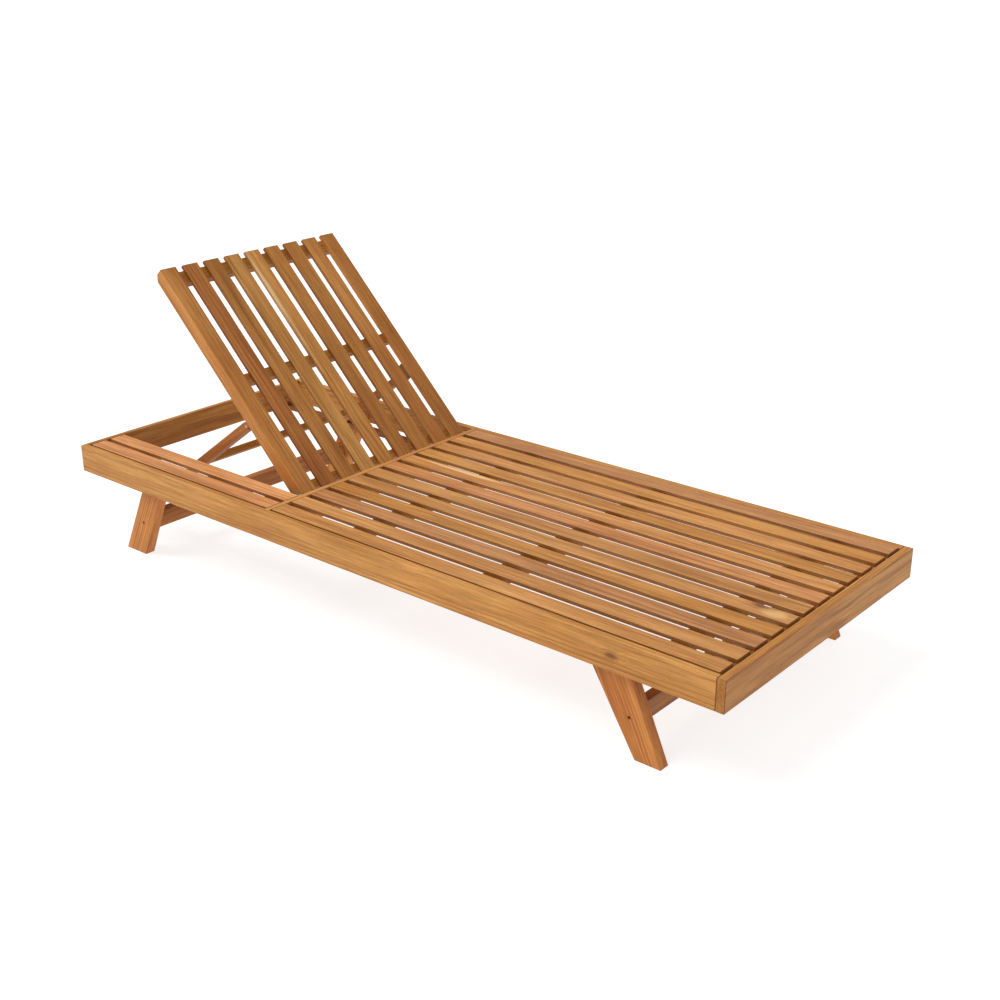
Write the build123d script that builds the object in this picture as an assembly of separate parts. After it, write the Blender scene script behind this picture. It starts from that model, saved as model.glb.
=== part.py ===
"""Reclining slatted sun lounger in oiled hardwood.

A low flat base on four splayed legs carries twelve long seat slats. The head half of the
seat is a nine-board backrest that turns on two hinge bolts beside a thin cross bar. A prop
frame bolted under the backrest stands with its two feet on a pair of notched racks.

Millimetres, +X towards the foot end, +Y towards the far side, +Z up. The origin is on the
floor, under the middle of the base frame.
"""
import math
import os

from build123d import *

# ---- base frame -------------------------------------------------------------------------
FRAME_L = 2000.0
FRAME_W = 790.0
TOP_Z = 262.0
RAIL_D = 72.0
SIDE_T = 18.0
HEAD_T = 15.0
FOOT_T = 20.0
EASE = 1.5
RAIL_EASE = 2.0
THIN_EASE = 1.0
OVERCUT = 1.0

HEAD_X = -FRAME_L / 2
FOOT_X = FRAME_L / 2
NEAR_Y = -FRAME_W / 2
FAR_Y = FRAME_W / 2
NEAR_IN = NEAR_Y + SIDE_T
FAR_IN = FAR_Y - SIDE_T

# ---- thin cross bar between backrest and seat -------------------------------------------
BAR_X = HEAD_X + 714.0
BAR_T = 13.0
BAR_D = 72.0
BAR_HOUSING = 8.0
BAR_SLOT_ABOVE = 5.0

# ---- slats and the battens under them ---------------------------------------------------
SLAT_T = 9.5
SEAT_SLATS = 12
SEAT_SLAT_W = 46.0
SEAT_FIRST_GAP = 6.0
SEAT_LAST_GAP = 2.5
SEAT_FOOT_GAP = 7.0
SLAT_END_GAP = 1.0
BATTEN_T = 22.0
BATTEN_W = 40.0
SEAT_BATTENS_X = (755.0, 960.0, 1360.0, 1840.0, 1964.0)
SEAT_BATTEN_WIDTHS = (40.0, 40.0, 50.0, 40.0, 28.0)
TRAY_SLATS_Y = (24.0, 83.0)
TRAY_SLAT_W = 44.0
TRAY_HEAD_GAP = 2.0
TRAY_BATTENS_X = (165.0, 440.0, 655.0)
TRAY_BATTEN_END = 136.0

# ---- legs -------------------------------------------------------------------------------
# a leg's shape is: inset of its outer edge at the floor, width there, and the lean of its
# outer and inner edges, as run over rise
LEG_T = 28.0
HEAD_LEG = (139.0, 79.0, 0.49, 0.447)
FOOT_LEG = (144.0, 64.0, 0.437, 0.616)
LEG_TOP_Z = TOP_Z - 12.0
LEG_BOLT_DROPS = (43.0, 61.0)
STRETCHER_Z = 92.0
STRETCHER_D = 46.0
STRETCHER_T = 24.0

# ---- backrest, drawn lying flat with the hinge axis at its origin --------------------------
HINGE_X = BAR_X - 12.0
HINGE_Z = TOP_Z - 11.0
REST_ANGLE = 45.0
RAISE = 9.0
BACK_Y0 = NEAR_Y + 141.0
BACK_Y1 = NEAR_Y + 740.0
BACK_BOARDS = 9
BOARD_W = 48.0
BACK_TOP = 686.0
BACK_FRONT = 11.0
STILE_T = 36.0
STILE_WEB = 18.0
STILE_FOOT = 11.0
STILE_CHAMFER = 14.0
STILE_ROUND = BACK_FRONT - 0.5
BOARD_FOOT = 3.0
BACK_RAIL_T = 25.0
BACK_RAILS = {"bottom": (9.0, 32.0), "mid": (326.0, 354.0), "top": (640.0, 675.0)}

# ---- prop frame, drawn parallel to the backrest with its pivot at its origin ---------------
PROP_U = 233.5
PROP_N = -37.5
PROP_LEG_T = 22.0
PROP_LEG_W = 23.0
PROP_FOOT_AT = 302.0
PROP_ROD_AT = 238.0
PROP_ROD_W = 22.0
PROP_ROD_T = 18.0
PROP_ROD_IN = 12.0
PROP_FOLDED = 0.6
PROP_RATIO = 1.796
PROP_REST = PROP_FOLDED + PROP_RATIO * REST_ANGLE
PROP_LEG_IN = 2.0
CLEAT_L = 42.0
CLEAT_T = 18.0
CLEAT_BELOW = 14.0
CLEAT_ROUND = 12.0
CLEAT_AT = PROP_LEG_IN + PROP_LEG_T + 0.5

# ---- notched racks ------------------------------------------------------------------------
RACK_D = 14.0
NOTCH_ANGLES = (25.0, 32.0, 38.5, 45.0, 51.5)
NOTCH_R = PROP_LEG_W / 2
NOTCH_DEPTH = 4.0
FOOT_CLEAR = 0.4

# ---- metalwork ------------------------------------------------------------------------------
PIN_R = 4.0
RUNNING_FIT = 0.06
LEG_BOLT_DEPTH = 11.0
LEG_BOLT_HEAD_R = 6.5
LEG_BOLT_HEAD_T = 3.0
STRETCHER_BOLT_R = 3.0
STRETCHER_BOLT_L = 40.0
STRETCHER_BOLT_HEAD_R = 4.0
STRETCHER_BOLT_HEAD_T = 3.0
COUNTERSINK = 6.0
PLATE_T = 4.0
PLATE_L = 34.0
PLATE_TOP_DROP = 3.0
PLATE_LOW_DROP = 48.0
FLANGE_W = 22.0
FLANGE_TOP_DROP = 26.0
EAR_OUT = PLATE_T + 1.0
HINGE_PIN_COVER = 2.0
HINGE_PIN_HEAD_R = 6.5
HINGE_PIN_HEAD_T = 4.0
BORE_EXTRA = 0.5
PROP_PIN_FROM = 3.0
PROP_CAP_R = 7.0
PROP_CAP_T = 4.0


def block(x0, x1, y0, y1, z0, z1, ease=EASE):
    """A straight piece of timber between two corners, with all its edges eased."""
    solid = Pos((x0 + x1) / 2, (y0 + y1) / 2, (z0 + z1) / 2) * Box(x1 - x0, y1 - y0, z1 - z0)
    if ease:
        solid = fillet(solid.edges(), ease)
    return solid


def rod_y(x, z, y0, y1, radius):
    """A round bar along Y."""
    return Pos(x, (y0 + y1) / 2, z) * Rot(90, 0, 0) * Cylinder(radius, y1 - y0)


def backrest_sides():
    """The two sides of the backrest: name, outer edge, direction inwards."""
    return (("near", BACK_Y0, 1), ("far", BACK_Y1, -1))


def span(edge, inward, start, length):
    """A stretch of Y measured inwards from an edge, low end first."""
    return sorted((edge + inward * start, edge + inward * (start + length)))


def place_back(solid):
    """Turn a piece drawn flat in the backrest's frame up to the stored angle."""
    return Pos(HINGE_X, 0, HINGE_Z) * Rot(0, REST_ANGLE, 0) * solid


def place_prop(solid):
    """Swing a piece drawn folded in the prop's frame down to the stored angle."""
    return place_back(Pos(-PROP_U, 0, PROP_N) * Rot(0, -PROP_REST, 0) * solid)


def foot_centre(angle):
    """Where the prop's feet are when the backrest stands at this angle."""
    tilt = math.radians(angle)
    fold = math.radians(PROP_FOLDED + PROP_RATIO * angle - angle)
    x = HINGE_X - PROP_U * math.cos(tilt) + PROP_N * math.sin(tilt)
    z = HINGE_Z + PROP_U * math.sin(tilt) + PROP_N * math.cos(tilt)
    return x - PROP_FOOT_AT * math.cos(fold), z - PROP_FOOT_AT * math.sin(fold)


def seat_slat_starts():
    """The near edges of the seat slats."""
    first = NEAR_IN + SEAT_FIRST_GAP
    last = FAR_IN - SEAT_LAST_GAP - SEAT_SLAT_W
    return [first + i * (last - first) / (SEAT_SLATS - 1) for i in range(SEAT_SLATS)]


def back_board_starts():
    """The near edges of the nine backrest boards, stiles included."""
    step = (BACK_Y1 - BACK_Y0 - BOARD_W) / (BACK_BOARDS - 1)
    return [BACK_Y0 + i * step for i in range(BACK_BOARDS)]


def leg_centre(shape, z):
    """Distance of a leg's centre line from its end of the frame, at a height."""
    inset, width, lean_out, lean_in = shape
    return inset + width / 2 + (lean_out + lean_in) / 2 * z


def leg_ends():
    """The two ends: name, end of frame, direction inwards, shape of the legs."""
    return (("head", HEAD_X, 1, HEAD_LEG), ("foot", FOOT_X, -1, FOOT_LEG))


def leg_bolts():
    """Two bolts through each leg into the side rail, heads on the inner face."""
    bolts = []
    for _, end, inward, shape in leg_ends():
        for drop in LEG_BOLT_DROPS:
            z = TOP_Z - drop
            x = end + inward * leg_centre(shape, z)
            for rail_in, side in ((NEAR_IN, 1), (FAR_IN, -1)):
                inner = rail_in + side * LEG_T
                shank = rod_y(x, z, *sorted((rail_in - side * LEG_BOLT_DEPTH, inner)), PIN_R)
                head_y = sorted((inner, inner + side * LEG_BOLT_HEAD_T))
                head = rod_y(x, z, *head_y, LEG_BOLT_HEAD_R)
                bolts.append(shank + head)
    return bolts


def stretcher_bolts():
    """One sunk screw through each leg into the end of a stretcher."""
    bolts = []
    for _, end, inward, shape in leg_ends():
        x = end + inward * leg_centre(shape, STRETCHER_Z)
        for rail_in, side in ((NEAR_IN, 1), (FAR_IN, -1)):
            face = rail_in + side * COUNTERSINK
            shank_y = sorted((face, rail_in + side * (LEG_T + STRETCHER_BOLT_L)))
            shank = rod_y(x, STRETCHER_Z, *shank_y, STRETCHER_BOLT_R)
            head_y = sorted((face, face + side * STRETCHER_BOLT_HEAD_T))
            head = rod_y(x, STRETCHER_Z, *head_y, STRETCHER_BOLT_HEAD_R)
            bolts.append(shank + head)
    return bolts


def stretcher_holes():
    """The holes in the legs' outer faces that the stretcher screws are sunk in."""
    holes = []
    for _, end, inward, shape in leg_ends():
        x = end + inward * leg_centre(shape, STRETCHER_Z)
        for rail_in, side in ((NEAR_IN, 1), (FAR_IN, -1)):
            hole_y = sorted((rail_in - side * OVERCUT, rail_in + side * COUNTERSINK))
            holes.append(rod_y(x, STRETCHER_Z, *hole_y, STRETCHER_BOLT_HEAD_R))
    return holes


def leg(end, inward, shape, y0):
    """A tapered board that leans outwards as it goes down."""
    inset, width, lean_out, lean_in = shape

    def point(offset, lean, z):
        return end + inward * (inset + offset + lean * z), z

    outline = Polyline(
        point(0, lean_out, 0),
        point(width, lean_in, 0),
        point(width, lean_in, LEG_TOP_Z),
        point(0, lean_out, LEG_TOP_Z),
        close=True,
    )
    face = make_face(Plane.XZ * outline)
    solid = Pos(0, y0, 0) * extrude(face, amount=LEG_T, dir=(0, 1, 0))
    return fillet(solid.edges(), EASE)


def make_base():
    """Everything that stands on the floor and doesn't move."""
    parts = {}
    low = TOP_Z - RAIL_D
    side_end = FOOT_X - FOOT_T
    bar_y0 = NEAR_IN - BAR_HOUSING
    bar_y1 = FAR_IN + BAR_HOUSING
    bar_hole = block(
        BAR_X, BAR_X + BAR_T, bar_y0, bar_y1, TOP_Z - BAR_D, TOP_Z + BAR_SLOT_ABOVE, 0)
    bolts = leg_bolts()
    screws = stretcher_bolts()
    cuts = bolts + screws + stretcher_holes()

    near = block(HEAD_X, side_end, NEAR_Y, NEAR_IN, low, TOP_Z, RAIL_EASE)
    far = block(HEAD_X, side_end, FAR_IN, FAR_Y, low, TOP_Z, RAIL_EASE)
    parts["rail_side_near"] = near - bar_hole - bolts
    parts["rail_side_far"] = far - bar_hole - bolts
    parts["rail_head"] = block(HEAD_X, HEAD_X + HEAD_T, NEAR_IN, FAR_IN, low, TOP_Z)
    parts["rail_foot"] = block(
        side_end, FOOT_X, NEAR_Y, FAR_Y, low, TOP_Z, RAIL_EASE)
    parts["hinge_bar"] = block(
        BAR_X, BAR_X + BAR_T, bar_y0, bar_y1, TOP_Z - BAR_D, TOP_Z, THIN_EASE)

    seat_x0 = BAR_X + BAR_T + SLAT_END_GAP
    for i, y in enumerate(seat_slat_starts()):
        parts[f"seat_slat_{i + 1:02d}"] = block(
            seat_x0, side_end - SEAT_FOOT_GAP, y, y + SEAT_SLAT_W, TOP_Z - SLAT_T, TOP_Z)
    batten_top = TOP_Z - SLAT_T
    for i, (x, width) in enumerate(zip(SEAT_BATTENS_X, SEAT_BATTEN_WIDTHS)):
        centre = HEAD_X + x
        parts[f"seat_batten_{i + 1}"] = block(
            centre - width / 2, centre + width / 2, NEAR_IN, FAR_IN,
            batten_top - BATTEN_T, batten_top)

    for i, y in enumerate(TRAY_SLATS_Y):
        parts[f"tray_slat_{i + 1}"] = block(
            HEAD_X + HEAD_T + TRAY_HEAD_GAP, BAR_X - SLAT_END_GAP,
            NEAR_Y + y, NEAR_Y + y + TRAY_SLAT_W, TOP_Z - SLAT_T, TOP_Z)
    for i, x in enumerate(TRAY_BATTENS_X):
        centre = HEAD_X + x
        parts[f"tray_batten_{i + 1}"] = block(
            centre - BATTEN_W / 2, centre + BATTEN_W / 2, NEAR_IN, NEAR_Y + TRAY_BATTEN_END,
            batten_top - BATTEN_T, batten_top)

    for name, end, inward, shape in leg_ends():
        for side, y0 in (("near", NEAR_IN), ("far", FAR_IN - LEG_T)):
            parts[f"leg_{name}_{side}"] = leg(end, inward, shape, y0) - cuts
        x = end + inward * leg_centre(shape, STRETCHER_Z)
        parts[f"stretcher_{name}"] = block(
            x - STRETCHER_T / 2, x + STRETCHER_T / 2, NEAR_IN + LEG_T, FAR_IN - LEG_T,
            STRETCHER_Z - STRETCHER_D / 2, STRETCHER_Z + STRETCHER_D / 2) - screws
    parts["leg_bolts"] = Compound(bolts)
    parts["stretcher_bolts"] = Compound(screws)
    parts.update(make_racks())
    parts.update(make_hinge_plates())
    return parts


def make_racks():
    """The two notched rails that the prop's feet stand over."""
    lowest = min(foot_centre(a)[1] for a in range(int(REST_ANGLE + RAISE) + 1))
    rack_top = lowest - PROP_LEG_W / 2 - FOOT_CLEAR
    racks = {}
    for name, edge, inward in backrest_sides():
        y0, y1 = span(edge, inward, PROP_LEG_IN, PROP_LEG_T)
        rack = block(HEAD_X + HEAD_T, BAR_X, y0, y1, rack_top - RACK_D, rack_top, THIN_EASE)
        for angle in NOTCH_ANGLES:
            x = foot_centre(angle)[0]
            z = rack_top + NOTCH_R - NOTCH_DEPTH
            rack -= rod_y(x, z, y0 - OVERCUT, y1 + OVERCUT, NOTCH_R)
        racks[f"rack_{name}"] = rack
    return racks


def make_hinge_plates():
    """Steel angles on the cross bar, and the shoulder bolts the backrest turns on."""
    parts = {}
    pins = []
    for name, edge, inward in backrest_sides():
        ear_y = span(edge, inward, -EAR_OUT, PLATE_T)
        ear = block(
            BAR_X - PLATE_L, BAR_X, *ear_y, TOP_Z - PLATE_LOW_DROP, TOP_Z - PLATE_TOP_DROP, 0)
        flange_y = span(edge, inward, -EAR_OUT - FLANGE_W, FLANGE_W)
        flange = block(
            BAR_X - PLATE_T, BAR_X, *flange_y, TOP_Z - PLATE_LOW_DROP, TOP_Z - FLANGE_TOP_DROP, 0)
        shank_y = span(edge, inward, -EAR_OUT, EAR_OUT + STILE_WEB - HINGE_PIN_COVER)
        shank = rod_y(HINGE_X, HINGE_Z, *shank_y, PIN_R)
        head_y = span(edge, inward, -EAR_OUT - HINGE_PIN_HEAD_T, HINGE_PIN_HEAD_T)
        head = rod_y(HINGE_X, HINGE_Z, *head_y, HINGE_PIN_HEAD_R)
        pins.append(shank + head)
        parts[f"hinge_plate_{name}"] = ear + flange - shank
    parts["hinge_pins"] = Compound(pins)
    return parts


def stile(edge, inward):
    """An outer board of the backrest, one L-shaped piece: a face as thin as the other boards
    and a deep web at the outer edge, round at its hinge and chamfered at its top back edge."""
    back = BACK_FRONT - STILE_T
    face_back = BACK_FRONT - SLAT_T
    solid = block(-BACK_TOP, STILE_FOOT, *span(edge, inward, 0, BOARD_W), back, BACK_FRONT, 0)
    ends = solid.edges().filter_by(Axis.Y).sort_by(Axis.X)
    solid = fillet(ends[-2:].sort_by(Axis.Z)[-1], STILE_ROUND)
    ends = solid.edges().filter_by(Axis.Y).sort_by(Axis.X)
    solid = chamfer(ends[:2].sort_by(Axis.Z)[0], STILE_CHAMFER)
    solid = fillet(solid.edges().filter_by(Axis.X), EASE)
    rebate_y = span(edge, inward, STILE_WEB, BOARD_W)
    solid -= block(
        -BACK_TOP - OVERCUT, STILE_FOOT + OVERCUT, *rebate_y, back - OVERCUT, face_back, 0)
    bore_l = OVERCUT + STILE_WEB - HINGE_PIN_COVER + BORE_EXTRA
    bore_y = span(edge, inward, -OVERCUT, bore_l)
    return solid - rod_y(0, 0, *bore_y, PIN_R + RUNNING_FIT)


def cleat(edge, inward):
    """The block on the back of a stile's face that carries one prop leg."""
    y0, y1 = span(edge, inward, CLEAT_AT, CLEAT_T)
    low = PROP_N - CLEAT_BELOW
    half = CLEAT_L / 2
    solid = block(-PROP_U - half, -PROP_U + half, y0, y1, low, BACK_FRONT - SLAT_T, 0)
    return fillet(solid.edges().filter_by(Axis.Y).sort_by(Axis.Z)[:2], CLEAT_ROUND)


def make_backrest():
    """Two stiles, seven boards, three rails and the cleats that carry the prop."""
    parts = {}
    pins = []
    starts = back_board_starts()
    cleat_end = CLEAT_AT + CLEAT_T
    for name, edge, inward in backrest_sides():
        parts[f"back_stile_{name}"] = place_back(stile(edge, inward))
        pin_y = span(edge, inward, PROP_PIN_FROM, cleat_end - PROP_PIN_FROM)
        pin = rod_y(-PROP_U, PROP_N, *pin_y, PIN_R)
        cap = rod_y(-PROP_U, PROP_N, *span(edge, inward, cleat_end, PROP_CAP_T), PROP_CAP_R)
        parts[f"prop_cleat_{name}"] = place_back(cleat(edge, inward) - pin)
        pins.append(place_back(pin + cap))
    parts["prop_pins"] = Compound(pins)

    rail_front = BACK_FRONT - SLAT_T
    for i, y0 in enumerate(starts[1:-1]):
        parts[f"back_slat_{i + 1}"] = place_back(
            block(-BACK_TOP, BOARD_FOOT, y0, y0 + BOARD_W, rail_front, BACK_FRONT))
    for name, (u0, u1) in BACK_RAILS.items():
        parts[f"back_rail_{name}"] = place_back(
            block(-u1, -u0, BACK_Y0 + STILE_WEB, BACK_Y1 - STILE_WEB,
                  rail_front - BACK_RAIL_T, rail_front))
    return parts


def make_prop():
    """Two legs with round feet, joined by a rod let into them."""
    parts = {}
    rod = block(-PROP_ROD_AT - PROP_ROD_W / 2, -PROP_ROD_AT + PROP_ROD_W / 2,
                BACK_Y0 + PROP_ROD_IN, BACK_Y1 - PROP_ROD_IN,
                -PROP_ROD_T / 2, PROP_ROD_T / 2, THIN_EASE)
    half = PROP_LEG_W / 2
    for name, edge, inward in backrest_sides():
        y0, y1 = span(edge, inward, PROP_LEG_IN, PROP_LEG_T)
        body = block(-PROP_FOOT_AT, 0, y0, y1, -half, half, 0)
        body += rod_y(0, 0, y0, y1, half) + rod_y(-PROP_FOOT_AT, 0, y0, y1, half)
        body -= rod_y(0, 0, y0 - OVERCUT, y1 + OVERCUT, PIN_R + RUNNING_FIT)
        parts[f"prop_leg_{name}"] = place_prop(body - rod)
    parts["prop_rod"] = place_prop(rod)
    return parts


def main():
    """Build every piece and write one STEP file for each."""
    os.makedirs("parts", exist_ok=True)
    parts = {}
    parts.update(make_base())
    parts.update(make_backrest())
    parts.update(make_prop())
    for name, solid in parts.items():
        export_step(solid, f"parts/{name}.step")
        print(name)


main()
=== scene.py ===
"""Looks, light and camera for the reclining slatted sun lounger.

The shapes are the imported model's own nodes. This script gives each board its own cut of
procedural hardwood and sets the floor, the lights and the camera. Everything is in metres,
in the model's frame.
"""
import math
import random

import bpy
from mathutils import Matrix, Vector


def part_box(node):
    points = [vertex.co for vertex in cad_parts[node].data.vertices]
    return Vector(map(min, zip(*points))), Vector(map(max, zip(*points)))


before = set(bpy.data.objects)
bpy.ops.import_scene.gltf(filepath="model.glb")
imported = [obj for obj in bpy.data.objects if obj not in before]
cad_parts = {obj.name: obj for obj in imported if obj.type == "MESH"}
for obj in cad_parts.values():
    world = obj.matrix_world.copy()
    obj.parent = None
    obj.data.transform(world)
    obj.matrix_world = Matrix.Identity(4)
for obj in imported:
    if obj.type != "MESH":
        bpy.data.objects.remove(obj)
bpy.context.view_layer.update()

# ---- directions of the grain ------------------------------------------------------------
ALONG = (1.0, 0.0, 0.0)
ACROSS = (0.0, 1.0, 0.0)
BACK_TILT = math.radians(45.0)
LEG_LEAN = 0.49

# ---- colours of the wood, linear ----------------------------------------------------------
# each tone is (light, middle, dark)
TONES = {
    "golden": ((0.660, 0.318, 0.080), (0.520, 0.222, 0.046), (0.235, 0.074, 0.011)),
    "tan": ((0.660, 0.316, 0.096), (0.525, 0.228, 0.060), (0.240, 0.080, 0.015)),
    "pink": ((0.640, 0.292, 0.104), (0.510, 0.210, 0.064), (0.235, 0.074, 0.016)),
    "orange": ((0.640, 0.272, 0.064), (0.505, 0.186, 0.034), (0.235, 0.066, 0.009)),
    "rust": ((0.660, 0.250, 0.052), (0.520, 0.168, 0.026), (0.250, 0.060, 0.007)),
    "amber": ((0.550, 0.230, 0.046), (0.430, 0.158, 0.025), (0.195, 0.060, 0.008)),
    "red": ((0.500, 0.192, 0.040), (0.385, 0.128, 0.022), (0.175, 0.046, 0.007)),
    "olive": ((0.540, 0.228, 0.040), (0.410, 0.152, 0.020), (0.190, 0.058, 0.007)),
    "brown": ((0.330, 0.124, 0.024), (0.240, 0.078, 0.013), (0.120, 0.034, 0.005)),
}
SAPWOOD = (0.800, 0.520, 0.240)
# the dark of a knot's eye, also the painted shade at the ends of boards
KNOT_AND_SHADE = (0.110, 0.036, 0.009)
# painted shade: the tint that darkens the boards' sides that look into the gaps between them
GAP_SHADE_TINT = (0.42, 0.34, 0.24)
PLAIN = (1.0, 1.0, 1.0)

# ---- figure of the wood --------------------------------------------------------------------
# each layer is (cells per metre along and across the grain, detail, roughness, from, to)
RING_FADE = ((1.6, 30, 30), 2.0, 0.55, 0.35, 0.68)
PATCH = ((2.4, 16, 16), 2.0, 0.55, 0.32, 0.68)
STREAK = ((4.2, 130, 130), 4.0, 0.64, 0.38, 0.70)
FLECK = ((11, 330, 330), 2.0, 0.60, 0.52, 0.74)
PORE = ((60, 1500, 1500), 1.0, 0.55, 0.60, 0.72)
FIBRE_CELLS = (16, 620, 620)
FIBRE_SPAN = (0.25, 0.75)
FIBRE_SHADES = (0.80, 1.16)
FIBRE_ROUGHNESS = (0.46, 0.60)
KNOT_CELLS = (45, 90, 90)
SAP_CELLS = (7, 110, 110)
DRIFT_CELLS = (2.2, 9, 9)
DRIFT = 0.02
KNOT_SQUASH = (0.42, 1.0, 1.0)
KNOT_PUSH = 1.3
KNOT_RINGS = 16.0
KNOT_RAGGED = 0.9
SAP_RAGGED = 1.6
RING_STRETCH = 0.10
RING_SCALE = 44.0
STREAK_DEPTH = 0.50
FLECK_DEPTH = 0.42
PORE_DEPTH = 0.30
# how much painted shade the sides in the gaps get
GAP_SHADE_DEPTH = 0.75
END_DEPTH = 0.40
# painted shade of the groove where two boards meet, over the last millimetres before each end
JOINT_SHADE_DEPTH = 0.80
JOINT_SHADE_REACH = (0.0004, 0.0024)
END_ROUGHER = 0.18
FIBRE_HEIGHT = 0.6
RING_HEIGHT = -0.25
PORE_HEIGHT = 0.5
GRAIN_BUMP = {"Strength": 0.35, "Distance": 0.0006}
WOOD_SPECULAR = 0.28
NOWHERE = (50.0, 50.0, 50.0)

# ---- marks of single boards, in metres --------------------------------------------------------
# the rail's knot and the slat's knot and sapwood are IN from the board's foot end, the slat's
# pale streak from its head end. SIDE is towards the far side, from a slat's middle line or
# the backrest board's near edge. UP is from the rail's low edge or the board's middle
RAIL_KNOT_IN = 0.240
RAIL_KNOT_UP = 0.036
RAIL_KNOT_R = 0.006
SLAT_KNOT_IN = 0.085
SLAT_KNOT_SIDE = 0.014
SLAT_KNOT_R = 0.008
SLAT_SAP_IN = 0.045
SLAT_STREAK_IN = 0.20
SLAT_STREAK_SIDE = 0.012
BOARD_SAP_SIDE = 0.006
BOARD_SAP_UP = 0.13

# ---- floor, light and camera ------------------------------------------------------------------
FLOOR_HALF = 60.0
FLOOR_GREY = 0.34
FLOOR_GLOW = 0.78
WORLD_STRENGTH = 0.55
KEY_STRENGTH = 2.3
KEY_ANGLE = math.radians(38.0)
KEY_TOWARDS = (0.50, 0.42, -1.0)
CAMERA_AT = (2.182, -2.460, 1.569)
CAMERA_HEADING = math.radians(129.88)
CAMERA_PITCH = math.radians(22.0)
CAMERA_LENS = 52.0
CAMERA_SENSOR = 36.0
CAMERA_FAR = 300.0


class Tree:
    """A short way to add and link nodes in one shader tree."""

    def __init__(self, tree):
        self.tree = tree

    def add(self, kind, inputs=(), **settings):
        """Adds a node. inputs maps an input's name or number to a value or a socket."""
        node = self.tree.nodes.new(kind)
        for name, value in settings.items():
            setattr(node, name, value)
        for key, value in dict(inputs).items():
            if isinstance(value, bpy.types.NodeSocket):
                self.tree.links.new(value, node.inputs[key])
            else:
                node.inputs[key].default_value = value
        return node

    def math(self, operation, *values):
        """One scalar operation."""
        return self.add("ShaderNodeMath", enumerate(values), operation=operation).outputs[0]

    def vector(self, operation, *values):
        """One vector operation with a vector result."""
        node = self.add("ShaderNodeVectorMath", enumerate(values), operation=operation)
        return node.outputs["Vector"]

    def dot(self, a, b):
        """The dot product of two vectors."""
        node = self.add("ShaderNodeVectorMath", {0: a, 1: b}, operation="DOT_PRODUCT")
        return node.outputs["Value"]

    def length(self, a):
        """The length of a vector."""
        return self.add("ShaderNodeVectorMath", {0: a}, operation="LENGTH").outputs["Value"]

    def spread(self, value, low, high, to_low=0.0, to_high=1.0):
        """Maps low..high smoothly to to_low..to_high, and clamps outside."""
        node = self.add("ShaderNodeMapRange", {
            "Value": value, "From Min": low, "From Max": high,
            "To Min": to_low, "To Max": to_high}, interpolation_type="SMOOTHSTEP")
        return node.outputs["Result"]

    def noise(self, coords, stretch, detail=3.0, roughness=0.55):
        """Noise whose cells are 1/stretch metres along each axis."""
        node = self.add("ShaderNodeTexNoise", {
            "Vector": self.vector("MULTIPLY", coords, stretch), "Scale": 1.0,
            "Detail": detail, "Roughness": roughness})
        return node.outputs["Fac"]

    def layer(self, coords, settings):
        """One layer of figure, from 0 to 1."""
        cells, detail, roughness, low, high = settings
        return self.spread(self.noise(coords, cells, detail, roughness), low, high)

    def centred(self, coords, cells, size, detail=3.0):
        """Noise about zero, of a given size."""
        noise = self.math("SUBTRACT", self.noise(coords, cells, detail), 0.5)
        return self.math("MULTIPLY", noise, size)

    def mix(self, factor, a, b, blend="MIX"):
        """Mixes two colours."""
        node = self.add("ShaderNodeMix", data_type="RGBA", blend_type=blend)
        for key, value in (("Factor_Float", factor), ("A_Color", a), ("B_Color", b)):
            socket = next(s for s in node.inputs if s.identifier == key)
            if isinstance(value, bpy.types.NodeSocket):
                self.tree.links.new(value, socket)
            else:
                socket.default_value = value if key == "Factor_Float" else (*value[:3], 1.0)
        return next(s for s in node.outputs if s.identifier == "Result_Color")


def hardwood_group():
    """Oiled plantation hardwood, cut from a log whose heart runs along X of its coordinates."""
    group = bpy.data.node_groups.new("hardwood", "ShaderNodeTree")
    ports = (
        ("Grain", "NodeSocketVector"), ("Cut", "NodeSocketVector"), ("End", "NodeSocketFloat"),
        ("Light", "NodeSocketColor"), ("Middle", "NodeSocketColor"), ("Dark", "NodeSocketColor"),
        ("Figure", "NodeSocketFloat"), ("Gap Shade", "NodeSocketFloat"), ("Joint Shade", "NodeSocketFloat"),
        ("Knot", "NodeSocketVector"), ("Knot Size", "NodeSocketFloat"),
        ("Sap", "NodeSocketVector"), ("Sap Length", "NodeSocketFloat"),
        ("Sap Width", "NodeSocketFloat"), ("Sap Depth", "NodeSocketFloat"),
    )
    for name, kind in ports:
        group.interface.new_socket(name, in_out="INPUT", socket_type=kind)
    for name, kind in (("Color", "NodeSocketColor"), ("Roughness", "NodeSocketFloat"),
                       ("Height", "NodeSocketFloat")):
        group.interface.new_socket(name, in_out="OUTPUT", socket_type=kind)
    t = Tree(group)
    given = t.add("NodeGroupInput").outputs
    knot_far, bulge = knot_reach(t, given)
    push = t.add("ShaderNodeCombineXYZ", {"Y": t.math("MULTIPLY", bulge, KNOT_PUSH)}).outputs[0]
    log = t.vector("ADD", t.vector("ADD", given["Grain"], given["Cut"]), push)
    rings, ring_line = growth_rings(t, log)
    fibre = t.noise(log, FIBRE_CELLS, 3.0, 0.6)
    pore = t.layer(log, PORE)

    color = clear_wood(t, given, log, ring_line, fibre, pore)
    color = t.mix(sapwood(t, given, log), color, SAPWOOD)
    color = knot_color(t, given, knot_far, color)
    color = ends_and_painted_shade(t, given, rings, color)

    rough = t.spread(fibre, *FIBRE_SPAN, *FIBRE_ROUGHNESS)
    rough = t.math("ADD", rough, t.math("MULTIPLY", given["End"], END_ROUGHER))
    ring_height = t.math("MULTIPLY", ring_line, RING_HEIGHT)
    height = t.math("ADD", t.math("MULTIPLY", fibre, FIBRE_HEIGHT), ring_height)
    height = t.math("SUBTRACT", height, t.math("MULTIPLY", pore, PORE_HEIGHT))
    t.add("NodeGroupOutput", {"Color": color, "Roughness": rough, "Height": height})
    return group


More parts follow.
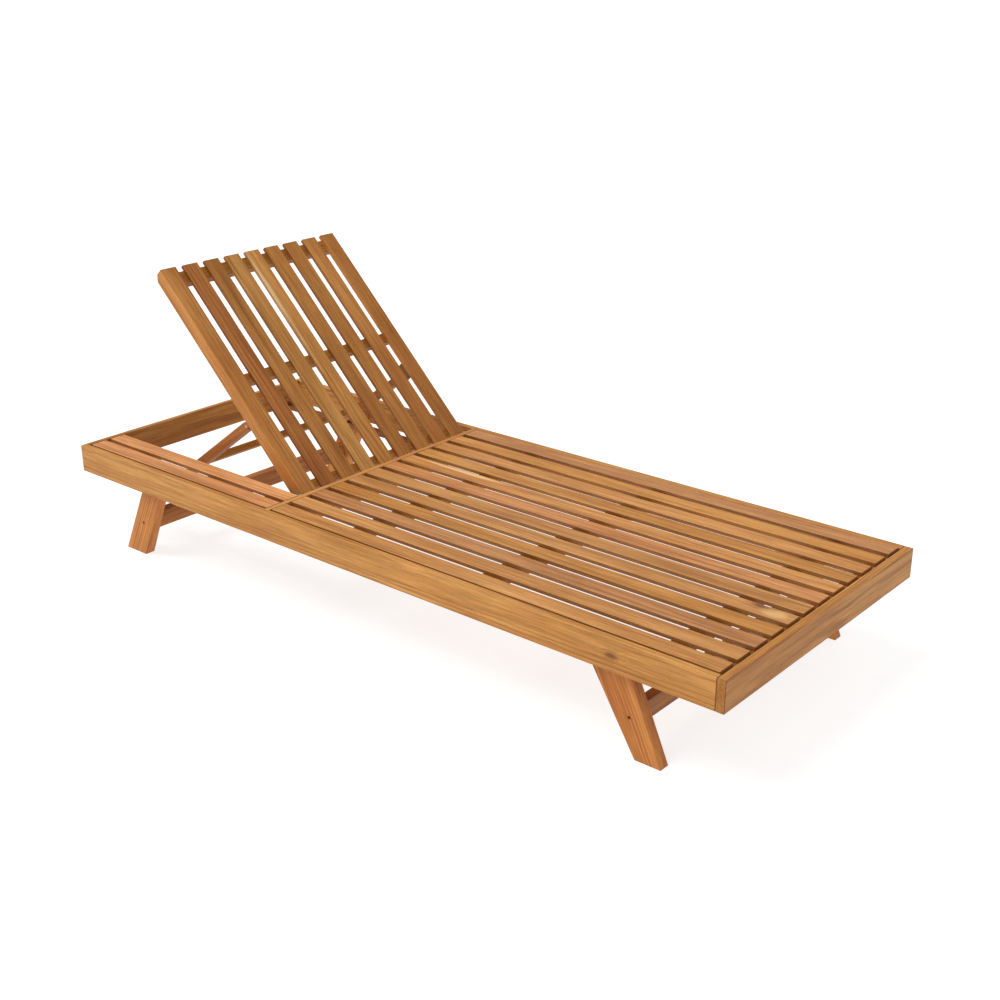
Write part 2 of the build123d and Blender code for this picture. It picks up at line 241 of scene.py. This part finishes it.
def knot_reach(t, given):
    """How far a point is from the knot, in knot radii, and how far the fibres part there."""
    at = given["Grain"]
    from_knot = t.vector("SUBTRACT", at, given["Knot"])
    knot_scale = t.math("DIVIDE", 1.0, given["Knot Size"])
    near_knot = t.vector("MULTIPLY", from_knot, KNOT_SQUASH)
    ragged = t.centred(at, KNOT_CELLS, KNOT_RAGGED)
    knot_far = t.math("ADD", t.math("MULTIPLY", t.length(near_knot), knot_scale), ragged)
    bulge = t.math("MULTIPLY", t.spread(knot_far, 0.2, 3.2, 1.0, 0.0), given["Knot Size"])
    return knot_far, bulge


def growth_rings(t, log):
    """Growth rings, seen as long lines or as arches, and the lines that show."""
    drift = t.centred(log, DRIFT_CELLS, DRIFT, 2.0)
    drift = t.add("ShaderNodeCombineXYZ", {"Y": drift, "Z": drift}).outputs[0]
    ring_at = t.vector("MULTIPLY", t.vector("ADD", log, drift), (RING_STRETCH, 1.0, 1.0))
    rings = t.add("ShaderNodeTexWave", {
        "Vector": ring_at, "Scale": RING_SCALE, "Distortion": 3.2, "Detail": 3.0,
        "Detail Scale": 0.45, "Detail Roughness": 0.6},
        wave_type="RINGS", rings_direction="X", wave_profile="SIN").outputs["Fac"]
    ring_line = t.math("MULTIPLY", t.spread(rings, 0.35, 1.0), t.layer(log, RING_FADE))
    return rings, ring_line


def clear_wood(t, given, log, ring_line, fibre, pore):
    """Wood with its patches, rings, streaks, flecks, fibres and pores, coarse to fine."""
    color = t.mix(t.layer(log, PATCH), given["Light"], given["Middle"])
    color = t.mix(t.math("MULTIPLY", ring_line, given["Figure"]), color, given["Dark"])
    for layer, depth in ((STREAK, STREAK_DEPTH), (FLECK, FLECK_DEPTH)):
        color = t.mix(t.math("MULTIPLY", t.layer(log, layer), depth), color, given["Dark"])
    shade = t.spread(fibre, *FIBRE_SPAN, *FIBRE_SHADES)
    tint = t.add("ShaderNodeCombineColor", {0: shade, 1: shade, 2: shade}).outputs[0]
    color = t.mix(1.0, color, tint, "MULTIPLY")
    return t.mix(t.math("MULTIPLY", pore, PORE_DEPTH), color, given["Dark"])


def sapwood(t, given, log):
    """How much of a pale streak of sapwood shows."""
    from_sap = t.vector("SUBTRACT", given["Grain"], given["Sap"])
    sap_size = t.add("ShaderNodeCombineXYZ", {
        "X": given["Sap Length"], "Y": given["Sap Width"], "Z": given["Sap Width"]}).outputs[0]
    sap_far = t.length(t.vector("DIVIDE", from_sap, sap_size))
    ragged = t.centred(log, SAP_CELLS, SAP_RAGGED)
    sap = t.spread(t.math("ADD", sap_far, ragged), 0.45, 1.15, 1.0, 0.0)
    return t.math("MULTIPLY", sap, given["Sap Depth"])


def knot_color(t, given, knot_far, color):
    """Lays the knot on: a ringed eye in a darker halo."""
    halo = t.spread(knot_far, 0.9, 2.8, 0.42, 0.0)
    color = t.mix(halo, color, given["Dark"])
    eye_rings = t.math("SINE", t.math("MULTIPLY", knot_far, KNOT_RINGS))
    eye = t.spread(knot_far, 0.35, 1.25, 0.80, 0.0)
    eye = t.math("MULTIPLY", eye, t.spread(eye_rings, -1.0, 1.0, 0.72, 1.0))
    return t.mix(eye, color, KNOT_AND_SHADE)


def ends_and_painted_shade(t, given, rings, color):
    """Lays painted shade on the sides that look into the gaps, deepens the cut ends, and lays
    painted shade of the joint groove over the last millimetres before them.
    """
    # painted shade: the sides that look into the gaps are multiplied darker
    tint = t.mix(t.math("MULTIPLY", given["Gap Shade"], GAP_SHADE_DEPTH), PLAIN, GAP_SHADE_TINT)
    color = t.mix(1.0, color, tint, "MULTIPLY")
    end_line = t.mix(t.math("MULTIPLY", rings, 0.4), given["Dark"], KNOT_AND_SHADE)
    color = t.mix(t.math("MULTIPLY", given["End"], END_DEPTH), color, end_line)
    # painted shade of the joint groove over the last millimetres before each end
    return t.mix(t.math("MULTIPLY", given["Joint Shade"], JOINT_SHADE_DEPTH), color, KNOT_AND_SHADE)


def across_grain(axis):
    """Two directions at right angles to the grain and to each other."""
    side = Vector((0, 1, 0)) if abs(axis.y) < 0.5 else Vector((0, 0, 1))
    third = axis.cross(side).normalized()
    return third.cross(axis).normalized(), third


def reach(node, axis):
    """How far a CAD node reaches along an axis, from and to."""
    places = [v.co.dot(axis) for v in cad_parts[node].data.vertices]
    return min(places), max(places)


def wood(name, tone, axis, figure=0.45, knot=None, knot_size=0.008, sap=None,
         sap_size=(0.2, 0.01), sap_depth=0.85, tint=1.0, gap_shade=0.0):
    """The wood of the board of this name. knot and sap are places in the frame, in metres."""
    chance = random.Random(name)
    axis = Vector(axis).normalized()
    side, third = across_grain(axis)
    material = bpy.data.materials.new(f"wood_{name}")
    material.use_nodes = True
    t = Tree(material.node_tree)
    shader = next(n for n in t.tree.nodes if n.type == "BSDF_PRINCIPLED")
    coords = t.add("ShaderNodeTexCoord").outputs
    grain = t.add("ShaderNodeCombineXYZ", {
        "X": t.dot(coords["Object"], axis), "Y": t.dot(coords["Object"], side),
        "Z": t.dot(coords["Object"], third)}).outputs[0]
    end = t.spread(t.math("ABSOLUTE", t.dot(coords["Normal"], axis)), 0.75, 0.95)
    # painted shade of the groove where boards meet: the last millimetres before each end get
    # darker, on the faces beside the end
    low_end, high_end = reach(name, axis)
    along = t.dot(coords["Object"], axis)
    from_low = t.math("SUBTRACT", along, low_end)
    to_end = t.math("MINIMUM", from_low, t.math("SUBTRACT", high_end, along))
    joint_shade = t.spread(to_end, *JOINT_SHADE_REACH, 1.0, 0.0)
    joint_shade = t.math("MULTIPLY", joint_shade, t.math("SUBTRACT", 1.0, end))
    # painted shade: faces that look across the grain, into the gaps between boards, get darker, as
    # much as the board asks
    gap_shade_mask = t.spread(t.math("ABSOLUTE", t.dot(coords["Normal"], side)), 0.80, 0.97, 0.0, gap_shade)
    gain = tint * chance.uniform(0.93, 1.06)
    warm = chance.uniform(0.965, 1.035)
    light, middle, dark = (
        (r * gain * warm, g * gain, b * gain / warm, 1.0) for r, g, b in TONES[tone])

    def in_grain(point):
        place = Vector(point)
        return place.dot(axis), place.dot(side), place.dot(third)

    group = t.add("ShaderNodeGroup", node_tree=HARDWOOD)
    values = {
        "Grain": grain, "End": end, "Gap Shade": gap_shade_mask, "Joint Shade": joint_shade,
        "Light": light, "Middle": middle, "Dark": dark,
        "Cut": (chance.uniform(-40, 40), chance.uniform(0.02, 0.13), chance.uniform(0.03, 0.12)),
        "Figure": figure * chance.uniform(0.7, 1.25),
        "Knot": in_grain(knot) if knot else NOWHERE, "Knot Size": knot_size,
        "Sap": in_grain(sap) if sap else NOWHERE,
        "Sap Length": sap_size[0], "Sap Width": sap_size[1], "Sap Depth": sap_depth}
    for key, value in values.items():
        if isinstance(value, bpy.types.NodeSocket):
            t.tree.links.new(value, group.inputs[key])
        else:
            group.inputs[key].default_value = value
    bump = t.add("ShaderNodeBump", {"Height": group.outputs["Height"], **GRAIN_BUMP})
    t.tree.links.new(group.outputs["Color"], shader.inputs["Base Color"])
    t.tree.links.new(group.outputs["Roughness"], shader.inputs["Roughness"])
    t.tree.links.new(bump.outputs["Normal"], shader.inputs["Normal"])
    shader.inputs["Specular IOR Level"].default_value = WOOD_SPECULAR
    return material


def steel():
    """Dull zinc-plated steel with faint crystals and scuffs."""
    material = bpy.data.materials.new("zinc_plated_steel")
    material.use_nodes = True
    t = Tree(material.node_tree)
    shader = next(n for n in t.tree.nodes if n.type == "BSDF_PRINCIPLED")
    at = t.add("ShaderNodeTexCoord").outputs["Object"]
    cloud = t.noise(at, (160, 160, 160), 4.0)
    scuff = t.noise(at, (900, 60, 900), 3.0)
    color = t.mix(cloud, (0.42, 0.42, 0.43), (0.62, 0.61, 0.59))
    t.tree.links.new(color, shader.inputs["Base Color"])
    t.tree.links.new(t.spread(scuff, 0.3, 0.7, 0.30, 0.52), shader.inputs["Roughness"])
    bump = t.add("ShaderNodeBump", {"Height": scuff, "Strength": 0.2, "Distance": 0.0003})
    t.tree.links.new(bump.outputs["Normal"], shader.inputs["Normal"])
    shader.inputs["Metallic"].default_value = 1.0
    return material


def paint(node, material):
    """Gives a CAD node its material."""
    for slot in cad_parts[node].material_slots:
        slot.material = material


def centre(node):
    """The middle of a CAD node's box."""
    low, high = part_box(node)
    return (Vector(low) + Vector(high)) / 2


def names(prefix):
    """The CAD nodes whose names start so, in order."""
    return sorted(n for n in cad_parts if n.startswith(prefix))


def paint_base():
    """The frame, the slats on it and the legs."""
    near_low, near_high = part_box("rail_side_near")
    near_knot = (near_high[0] - RAIL_KNOT_IN, near_low[1], near_low[2] + RAIL_KNOT_UP)
    near_wood = wood("rail_side_near", "golden", ALONG, 0.60, near_knot, RAIL_KNOT_R)
    paint("rail_side_near", near_wood)
    paint("rail_side_far", wood("rail_side_far", "golden", ALONG, 0.40))
    paint("rail_foot", wood("rail_foot", "golden", ACROSS, 0.85, tint=0.90))
    paint("rail_head", wood("rail_head", "olive", ACROSS, 0.55))
    paint("hinge_bar", wood("hinge_bar", "tan", ACROSS, 0.25, tint=1.12))

    slats = names("seat_slat_")
    tones = ("tan", "tan", "pink", "golden", "tan", "tan", "pink", "tan", "golden",
             "tan", "golden", "pink")
    for node, tone in zip(slats, tones):
        low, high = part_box(node)
        middle = (low[1] + high[1]) / 2
        extra = {}
        if node == slats[4]:
            extra = {
                "knot": (high[0] - SLAT_KNOT_IN, middle + SLAT_KNOT_SIDE, high[2]),
                "knot_size": SLAT_KNOT_R, "sap": (high[0] - SLAT_SAP_IN, middle, high[2]),
                "sap_size": (0.034, 0.018), "sap_depth": 0.50}
        if node == slats[7]:
            extra = {"sap": (low[0] + SLAT_STREAK_IN, middle + SLAT_STREAK_SIDE, high[2]),
                     "sap_size": (0.16, 0.007)}
        # each seat slat gets full painted shade on its sides that look into the gaps
        paint(node, wood(node, tone, ALONG, 0.35, gap_shade=1.0, **extra))
    # the tray's slats get the same painted shade on their sides
    for node in names("tray_slat_"):
        paint(node, wood(node, "pink", ALONG, 0.40, tint=1.22, gap_shade=1.0))
    for node in names("seat_batten_") + names("tray_batten_"):
        paint(node, wood(node, "brown", ACROSS, 0.40))
    for node in names("rack_"):
        paint(node, wood(node, "brown", ALONG, 0.40))

    for node in names("leg_head_"):
        paint(node, wood(node, "rust", (LEG_LEAN, 0.0, 1.0), 0.50, tint=1.02))
    for node in names("leg_foot_"):
        paint(node, wood(node, "rust", (-LEG_LEAN, 0.0, 1.0), 0.50, tint=0.95))
    for node in names("stretcher_"):
        if node != "stretcher_bolts":
            paint(node, wood(node, "red", ACROSS, 0.45))


def paint_backrest():
    """The backrest's boards and rails, and the prop under it."""
    up = (-math.cos(BACK_TILT), 0.0, math.sin(BACK_TILT))
    boards = ["back_stile_near"] + names("back_slat_") + ["back_stile_far"]
    tones = ("orange", "red", "amber", "golden", "golden", "amber", "amber", "orange", "amber")
    for node, tone in zip(boards, tones):
        extra = {}
        if node == boards[4]:
            middle = centre(node)
            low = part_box(node)[0]
            sap_at = (
                middle.x - BOARD_SAP_UP, low[1] + BOARD_SAP_SIDE, middle.z + BOARD_SAP_UP)
            extra = {"sap": sap_at, "sap_size": (0.22, 0.010), "sap_depth": 1.0}
        # painted shade on the sides of the slats between the stiles that look into the gaps; the
        # stiles' outer sides get none
        gap_shade_amount = 0.0 if node in (boards[0], boards[-1]) else 0.9
        paint(node, wood(node, tone, up, 0.45, gap_shade=gap_shade_amount, **extra))
    for node in names("back_rail_"):
        paint(node, wood(node, "olive", ACROSS, 0.40, tint=0.92))
    for node in names("prop_cleat_"):
        paint(node, wood(node, "brown", up, 0.40))
    for node in names("prop_leg_"):
        low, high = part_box(node)
        slope = (high[0] - low[0], 0.0, high[2] - low[2])
        paint(node, wood(node, "red", slope, 0.40, tint=0.9))
    paint("prop_rod", wood("prop_rod", "olive", ACROSS, 0.40))


def paint_metal():
    """Bolts, pins and hinge plates."""
    metal = steel()
    for node in ["leg_bolts", "stretcher_bolts", "hinge_pins", "prop_pins"] + names("hinge_plate_"):
        paint(node, metal)


def build_floor():
    """A plain pale floor that runs past the view."""
    mesh = bpy.data.meshes.new("floor")
    half = FLOOR_HALF
    corners = [(-half, -half, 0), (half, -half, 0), (half, half, 0), (-half, half, 0)]
    mesh.from_pydata(corners, [], [(0, 1, 2, 3)])
    floor = bpy.data.objects.new("floor", mesh)
    bpy.context.scene.collection.objects.link(floor)
    material = bpy.data.materials.new("floor_white")
    material.use_nodes = True
    shader = next(n for n in material.node_tree.nodes if n.type == "BSDF_PRINCIPLED")
    shader.inputs["Base Color"].default_value = (FLOOR_GREY, FLOOR_GREY, FLOOR_GREY, 1.0)
    shader.inputs["Roughness"].default_value = 0.9
    shader.inputs["Emission Color"].default_value = (1.0, 1.0, 1.0, 1.0)
    shader.inputs["Emission Strength"].default_value = FLOOR_GLOW
    mesh.materials.append(material)


def build_lights():
    """Even white surroundings, and a soft key from above the head end on the near side."""
    world = bpy.data.worlds.new("studio")
    world.use_nodes = True
    background = next(n for n in world.node_tree.nodes if n.type == "BACKGROUND")
    background.inputs["Color"].default_value = (1.0, 1.0, 1.0, 1.0)
    background.inputs["Strength"].default_value = WORLD_STRENGTH
    bpy.context.scene.world = world

    sun = bpy.data.lights.new("key", "SUN")
    sun.energy = KEY_STRENGTH
    sun.angle = KEY_ANGLE
    key = bpy.data.objects.new("key", sun)
    bpy.context.scene.collection.objects.link(key)
    key.rotation_euler = Vector(KEY_TOWARDS).to_track_quat("-Z", "Y").to_euler()


def build_camera():
    """The viewpoint: beyond the foot end, on the near side, looking down over the seat."""
    lens = bpy.data.cameras.new("camera")
    lens.sensor_width = CAMERA_SENSOR
    lens.lens = CAMERA_LENS
    lens.clip_end = CAMERA_FAR
    camera = bpy.data.objects.new("camera", lens)
    level = math.cos(CAMERA_PITCH)
    forward = Vector((level * math.cos(CAMERA_HEADING),
                      level * math.sin(CAMERA_HEADING), -math.sin(CAMERA_PITCH)))
    right = forward.cross(Vector((0, 0, 1))).normalized()
    up = right.cross(forward)
    turn = Matrix((right, up, -forward)).transposed().to_4x4()
    camera.matrix_world = Matrix.Translation(CAMERA_AT) @ turn
    bpy.context.scene.collection.objects.link(camera)
    bpy.context.scene.camera = camera


HARDWOOD = hardwood_group()
paint_base()
paint_backrest()
paint_metal()
build_floor()
build_lights()
build_camera()
bpy.context.scene.view_settings.view_transform = "Standard"
